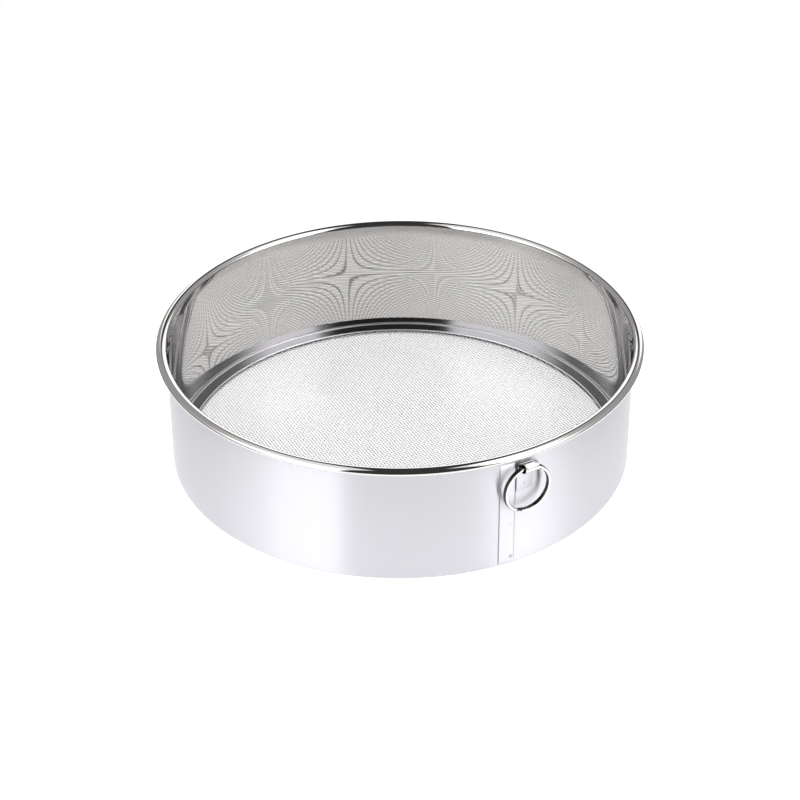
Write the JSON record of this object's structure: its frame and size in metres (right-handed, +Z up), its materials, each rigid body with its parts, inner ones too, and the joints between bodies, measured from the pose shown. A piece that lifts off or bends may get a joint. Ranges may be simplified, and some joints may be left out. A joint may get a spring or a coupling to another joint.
{
  "type": "round hand sieve",
  "caption": "Round stainless hand sieve: rolled sheet hoop with curled rim, fine woven cloth floor held by a clamp ring, and a split hanging ring in a strap eye.",
  "frame": {"origin": "centre of the base, on the floor plane under the bottom flange", "axes": "+Z up along the hoop's axis; the lap seam and the hanging ring are at the front, -Y, towards +X"},
  "size_m": [0.2106, 0.2106, 0.0566],
  "materials": {
    "hoop_wall": "bright rolled stainless sheet, mirror-like inside",
    "rim_wire": "drawn wire, hidden in the curl",
    "sieve_cloth": "bright woven stainless wire",
    "clamp_ring": "polished stainless",
    "ring_strap": "polished stainless sheet",
    "hanging_ring": "bright plated spring wire"
  },
  "bodies": {
    "sieve": {"hoop_wall": "hoop_wall", "rim_wire": "rim_wire", "sieve_cloth": "sieve_cloth", "clamp_ring": "clamp_ring", "ring_strap": "ring_strap"},
    "ring": {"hanging_ring": "hanging_ring"}
  },
  "joints": [
    {"name": "ring_swing", "type": "hinge", "parent": "sieve", "child": "ring", "pos_m": [0.05213, -0.08975, 0.0484], "axis": [-0.8647, -0.5023, 0], "range_deg": [0, 150]}
  ]
}
